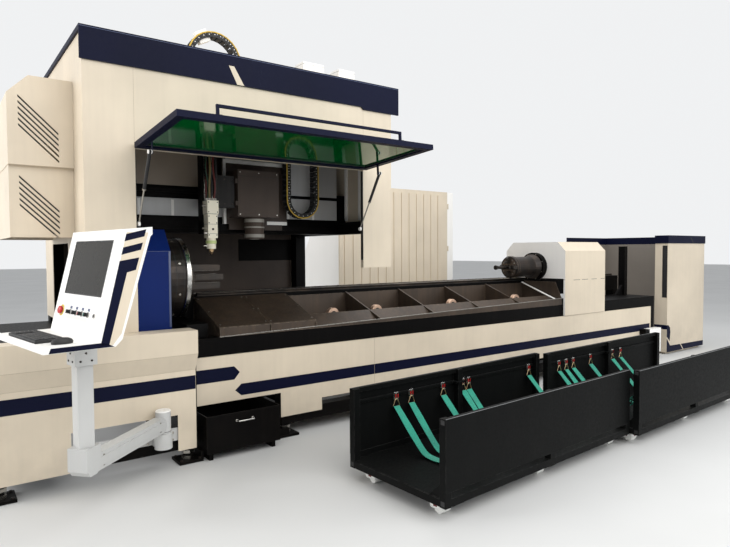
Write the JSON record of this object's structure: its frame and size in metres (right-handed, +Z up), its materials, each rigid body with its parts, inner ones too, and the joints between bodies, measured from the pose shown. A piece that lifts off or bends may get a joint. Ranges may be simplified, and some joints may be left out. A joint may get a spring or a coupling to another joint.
{
  "type": "tube laser cutting machine",
  "caption": "Tube laser cutter: portal with lifting window and cutting head, main and travelling tail chucks, sloped tray with rollers, swing-arm console, end guard and unloading bins",
  "frame": {"origin": "middle of the outline on the floor, the floor being z = 0", "axes": "+X runs along the bed from the portal to the end guard, +Y runs from the unloading bins to the rear cabinet, +Z is up"},
  "size_m": [9.66, 4.73, 3.3575],
  "materials": {
    "black_frame": "satin",
    "cream_sheet": "satin",
    "navy_sheet": "satin",
    "white_case": "satin",
    "worn_tray": "worn",
    "polished_ring": "polished",
    "chuck_black": "satin",
    "chuck_blue": "gloss",
    "silver_cover": "satin",
    "green_glass": "polished",
    "head_cream": "satin",
    "nozzle_copper": "polished",
    "roller_bronze": "satin",
    "bin_charcoal": "worn",
    "sling_teal": "woven",
    "grey_casting": "satin",
    "screen_dark": "polished",
    "stop_red": "gloss",
    "black_plastic": "matte",
    "strut_steel": "polished"
  },
  "bodies": {
    "machine": {"base_frame": "black_frame", "bed_tray": "worn_tray", "skirt_left": "cream_sheet", "skirt_right": "cream_sheet", "portal_frame": "black_frame", "portal_housing": "cream_sheet", "portal_fascia": "navy_sheet", "louvre_box": "cream_sheet", "gantry_beam": "black_frame", "roof_chain": "black_plastic", "main_chuck_housing": "chuck_blue", "console_bracket": "white_case", "end_guard": "cream_sheet", "end_fascia": "navy_sheet", "rear_cabinet": "cream_sheet", "bin_left": "bin_charcoal", "bin_right": "bin_charcoal", "sling_set_left": "sling_teal", "sling_set_right": "sling_teal"},
    "window": {"window_frame": "navy_sheet", "window_glass": "green_glass"},
    "strut_rod_left": {"strut_rod_left": "strut_steel"},
    "strut_rod_right": {"strut_rod_right": "strut_steel"},
    "strut_tube_left": {"strut_tube_left": "black_plastic"},
    "strut_tube_right": {"strut_tube_right": "black_plastic"},
    "head_carriage": {"head_carriage": "grey_casting", "head_chain": "black_plastic"},
    "cross_slide": {"cross_slide": "grey_casting"},
    "lift_slide": {"lift_slide": "black_frame", "cutting_head": "head_cream", "nozzle": "nozzle_copper", "hose_bundle": "black_plastic"},
    "main_rotor": {"main_chuck_rotor": "polished_ring"},
    "tail_carriage": {"tail_carriage": "white_case"},
    "tail_rotor": {"tail_rotor": "chuck_black"},
    "scrap_drawer": {"scrap_drawer": "bin_charcoal"},
    "console_arm": {"console_arm": "grey_casting"},
    "console_head": {"console_column": "white_case", "console_case": "white_case", "screen": "screen_dark", "keyboard": "black_plastic", "switch_strip": "silver_cover"},
    "stop_button": {"stop_button": "stop_red"},
    "cabinet_door": {"rear_cabinet_door": "cream_sheet"},
    "main_jaw_1": {"main_jaw_1": "chuck_black"},
    "tail_jaw_1": {"tail_jaw_1": "chuck_black"},
    "roller_lift_1": {"roller_lift_1": "black_frame"},
    "roller_1": {"roller_1": "roller_bronze"},
    "main_jaw_2": {"main_jaw_2": "chuck_black"},
    "tail_jaw_2": {"tail_jaw_2": "chuck_black"},
    "roller_lift_2": {"roller_lift_2": "black_frame"},
    "roller_2": {"roller_2": "roller_bronze"},
    "main_jaw_3": {"main_jaw_3": "chuck_black"},
    "tail_jaw_3": {"tail_jaw_3": "chuck_black"},
    "roller_lift_3": {"roller_lift_3": "black_frame"},
    "roller_3": {"roller_3": "roller_bronze"},
    "main_jaw_4": {"main_jaw_4": "chuck_black"},
    "tail_jaw_4": {"tail_jaw_4": "chuck_black"},
    "roller_lift_4": {"roller_lift_4": "black_frame"},
    "roller_4": {"roller_4": "roller_bronze"}
  },
  "joints": [
    {"name": "window_lift", "type": "hinge", "parent": "machine", "child": "window", "pos_m": [-2.8675, -0.447, 2.295], "axis": [1, 0, 0], "range_deg": [0, 93.9]},
    {"name": "strut_left_swing", "type": "hinge", "parent": "machine", "child": "strut_rod_left", "pos_m": [-3.838, -0.405, 1.75], "axis": [1, 0, 0], "range_deg": [-41.1, 0]},
    {"name": "strut_left_slide", "type": "slide", "parent": "strut_rod_left", "child": "strut_tube_left", "axis": [0, -0.525, 0.8511], "range_m": [-0.2449, 0]},
    {"name": "strut_right_swing", "type": "hinge", "parent": "machine", "child": "strut_rod_right", "pos_m": [-1.897, -0.405, 1.75], "axis": [1, 0, 0], "range_deg": [-41.1, 0]},
    {"name": "strut_right_slide", "type": "slide", "parent": "strut_rod_right", "child": "strut_tube_right", "axis": [0, -0.525, 0.8511], "range_m": [-0.2449, 0]},
    {"name": "head_carriage_travel", "type": "slide", "parent": "machine", "child": "head_carriage", "axis": [1, 0, 0], "range_m": [-0.11, 0.43]},
    {"name": "cross_travel", "type": "slide", "parent": "head_carriage", "child": "cross_slide", "axis": [0, 1, 0], "range_m": [-0.07, 0.07]},
    {"name": "head_lift", "type": "slide", "parent": "cross_slide", "child": "lift_slide", "axis": [0, 0, 1], "range_m": [-0.03, 0.18]},
    {"name": "main_chuck_spin", "type": "hinge", "parent": "machine", "child": "main_rotor", "pos_m": [-3.603, -0.005, 1.345], "axis": [1, 0, 0], "continuous": true},
    {"name": "tail_chuck_spin", "type": "hinge", "parent": "tail_carriage", "child": "tail_rotor", "pos_m": [1.07, -0.005, 1.345], "axis": [1, 0, 0], "continuous": true},
    {"name": "main_jaw_1_grip", "type": "slide", "parent": "main_rotor", "child": "main_jaw_1", "axis": [0, 0, 1], "range_m": [-0.02, 0.05]},
    {"name": "main_jaw_2_grip", "type": "slide", "parent": "main_rotor", "child": "main_jaw_2", "axis": [0, -1, 0], "range_m": [-0.02, 0.05]},
    {"name": "main_jaw_3_grip", "type": "slide", "parent": "main_rotor", "child": "main_jaw_3", "axis": [0, 0, -1], "range_m": [-0.02, 0.05]},
    {"name": "main_jaw_4_grip", "type": "slide", "parent": "main_rotor", "child": "main_jaw_4", "axis": [0, 1, 0], "range_m": [-0.02, 0.05]},
    {"name": "tail_jaw_1_grip", "type": "slide", "parent": "tail_rotor", "child": "tail_jaw_1", "axis": [0, 0, 1], "range_m": [-0.015, 0.02]},
    {"name": "tail_jaw_2_grip", "type": "slide", "parent": "tail_rotor", "child": "tail_jaw_2", "axis": [0, -1, 0], "range_m": [-0.015, 0.02]},
    {"name": "tail_jaw_3_grip", "type": "slide", "parent": "tail_rotor", "child": "tail_jaw_3", "axis": [0, 0, -1], "range_m": [-0.015, 0.02]},
    {"name": "tail_jaw_4_grip", "type": "slide", "parent": "tail_rotor", "child": "tail_jaw_4", "axis": [0, 1, 0], "range_m": [-0.015, 0.02]},
    {"name": "tail_travel", "type": "slide", "parent": "machine", "child": "tail_carriage", "axis": [1, 0, 0], "range_m": [-2.45, 0.95]},
    {"name": "roller_1_lift", "type": "slide", "parent": "machine", "child": "roller_lift_1", "axis": [0, 0, 1], "range_m": [0, 0.15]},
    {"name": "roller_1_spin", "type": "hinge", "parent": "roller_lift_1", "child": "roller_1", "pos_m": [-2.05, -0.17, 0.967], "axis": [0, 1, 0], "continuous": true},
    {"name": "roller_2_lift", "type": "slide", "parent": "machine", "child": "roller_lift_2", "axis": [0, 0, 1], "range_m": [0, 0.15]},
    {"name": "roller_2_spin", "type": "hinge", "parent": "roller_lift_2", "child": "roller_2", "pos_m": [-1.54, -0.17, 0.967], "axis": [0, 1, 0], "continuous": true},
    {"name": "roller_3_lift", "type": "slide", "parent": "machine", "child": "roller_lift_3", "axis": [0, 0, 1], "range_m": [0, 0.15]},
    {"name": "roller_3_spin", "type": "hinge", "parent": "roller_lift_3", "child": "roller_3", "pos_m": [-0.51, -0.17, 0.967], "axis": [0, 1, 0], "continuous": true},
    {"name": "roller_4_lift", "type": "slide", "parent": "machine", "child": "roller_lift_4", "axis": [0, 0, 1], "range_m": [0, 0.15]},
    {"name": "roller_4_spin", "type": "hinge", "parent": "roller_lift_4", "child": "roller_4", "pos_m": [0.54, -0.17, 0.967], "axis": [0, 1, 0], "continuous": true},
    {"name": "drawer_pull", "type": "slide", "parent": "machine", "child": "scrap_drawer", "axis": [0, -1, 0], "range_m": [0, 0.45]},
    {"name": "console_arm_swing", "type": "hinge", "parent": "machine", "child": "console_arm", "pos_m": [-3.758, -0.615, 0.3], "axis": [0, 0, 1], "range_deg": [-15, 70]},
    {"name": "console_swivel", "type": "hinge", "parent": "console_arm", "child": "console_head", "pos_m": [-4.373, -1.185, 0.47], "axis": [0, 0, 1], "range_deg": [-60, 60]},
    {"name": "stop_button_press", "type": "slide", "parent": "console_head", "child": "stop_button", "axis": [0.9584, 0.1569, -0.2385], "range_m": [0, 0.006], "stiffness_N_per_m": 600, "springref_m": -0.002},
    {"name": "cabinet_door_swing", "type": "hinge", "parent": "machine", "child": "cabinet_door", "pos_m": [1.008, 1.4447, 0.032], "axis": [0, 0, 1], "range_deg": [0, 20]}
  ],
  "couplings": [
    {"joint": "strut_left_swing", "follows": "window_lift", "ratio": -0.43703},
    {"joint": "strut_left_slide", "follows": "window_lift", "m_per_rad": -0.14933},
    {"joint": "strut_right_swing", "follows": "window_lift", "ratio": -0.43703},
    {"joint": "strut_right_slide", "follows": "window_lift", "m_per_rad": -0.14933},
    {"joint": "main_jaw_2_grip", "follows": "main_jaw_1_grip", "ratio": 1},
    {"joint": "main_jaw_3_grip", "follows": "main_jaw_1_grip", "ratio": 1},
    {"joint": "main_jaw_4_grip", "follows": "main_jaw_1_grip", "ratio": 1},
    {"joint": "tail_jaw_2_grip", "follows": "tail_jaw_1_grip", "ratio": 1},
    {"joint": "tail_jaw_3_grip", "follows": "tail_jaw_1_grip", "ratio": 1},
    {"joint": "tail_jaw_4_grip", "follows": "tail_jaw_1_grip", "ratio": 1}
  ]
}
